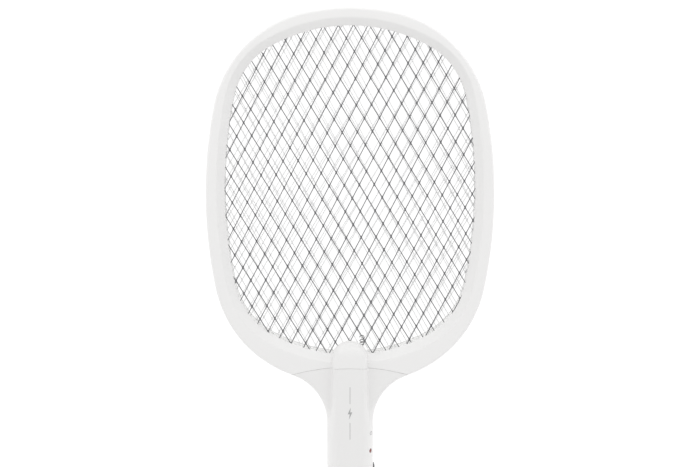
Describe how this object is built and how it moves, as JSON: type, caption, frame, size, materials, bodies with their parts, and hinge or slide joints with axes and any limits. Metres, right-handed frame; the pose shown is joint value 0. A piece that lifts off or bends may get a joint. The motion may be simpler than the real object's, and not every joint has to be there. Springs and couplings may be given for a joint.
{
  "type": "electric fly swatter",
  "caption": "Racket-shaped electric fly swatter: oval rim round layered expanded-metal meshes, straight handle with sliding mode switch, push button and concealed slide-out mains plug.",
  "frame": {"origin": "under the middle of the swatter's outline, on the plane its back rests on", "axes": "+Y along the handle towards the head, +Z out of the front mesh, +X towards the side with the mode switch"},
  "size_m": [0.21, 0.49, 0.0282],
  "materials": {
    "head_plastic": "satin off-white moulded plastic with a very fine texture",
    "handle_plastic": "satin off-white moulded plastic, slightly greyer than the head",
    "dark_mesh": "dark grey coated expanded metal, satin",
    "bright_mesh": "bright expanded aluminium",
    "spacer_plastic": "plain insulating plastic",
    "screw_steel": "zinc plated steel",
    "spring_steel": "plated spring steel",
    "red_insulation": "red wire insulation",
    "black_insulation": "black wire insulation",
    "board": "green glass-fibre board with solder resist",
    "transformer_ferrite": "dark ferrite with enamelled winding",
    "capacitor_red": "dipped film capacitor, red-brown",
    "capacitor_brown": "boxed film capacitor, brown",
    "component_black": "black moulded epoxy",
    "resistor_tan": "lacquered resistor body",
    "switch_can": "plated steel switch case",
    "knob_black": "near-black moulded plastic with grip ribs",
    "button_grey": "dark grey moulded plastic",
    "led_red": "red tinted epoxy lamp",
    "lens_red": "dark red translucent lens, unlit",
    "cell_wrap": "blue shrink-wrapped metal can",
    "carrier_plastic": "plain white moulded plastic",
    "pin_brass": "nickel-washed brass, rounded tips",
    "contact_brass": "stamped brass strip"
  },
  "bodies": {
    "swatter": {"head_front_ring": "head_plastic", "head_back_ring": "head_plastic", "front_grid": "dark_mesh", "middle_grid": "bright_mesh", "back_grid": "bright_mesh", "front_spacer_ring": "spacer_plastic", "back_spacer_ring": "spacer_plastic", "rim_screws": "screw_steel", "hv_contact_spring": "spring_steel", "ground_contact_strap": "spring_steel", "hv_lead": "red_insulation", "ground_lead": "black_insulation", "handle_front_shell": "handle_plastic", "handle_back_shell": "handle_plastic", "tail_cap": "handle_plastic", "handle_screws": "screw_steel", "circuit_board": "board", "hv_transformer": "transformer_ferrite", "hv_capacitor": "capacitor_red", "charging_capacitor": "capacitor_brown", "rectifier_diodes": "component_black", "drive_transistor": "component_black", "discharge_resistor": "resistor_tan", "tact_switch": "component_black", "slide_switch_body": "switch_can", "button_spring": "spring_steel", "indicator_led": "led_red", "indicator_lens": "lens_red", "battery_cell": "cell_wrap", "battery_contacts": "spring_steel", "plug_contact_springs": "contact_brass"},
    "mode_knob": {"slide_switch_knob": "knob_black"},
    "trigger": {"fire_button": "button_grey"},
    "plug": {"plug_carrier": "carrier_plastic", "plug_pins": "pin_brass", "plug_thumb_slider": "knob_black"}
  },
  "joints": [
    {"name": "mode_slide", "type": "slide", "parent": "swatter", "child": "mode_knob", "axis": [0, 1, 0], "range_m": [0, 0.004]},
    {"name": "trigger_press", "type": "slide", "parent": "swatter", "child": "trigger", "axis": [0, 0, -1], "range_m": [0, 0.0015], "stiffness_N_per_m": 600, "springref_m": -0.001, "deforming": ["button_spring"]},
    {"name": "plug_slide", "type": "slide", "parent": "swatter", "child": "plug", "axis": [0, -1, 0], "range_m": [0, 0.02]}
  ]
}
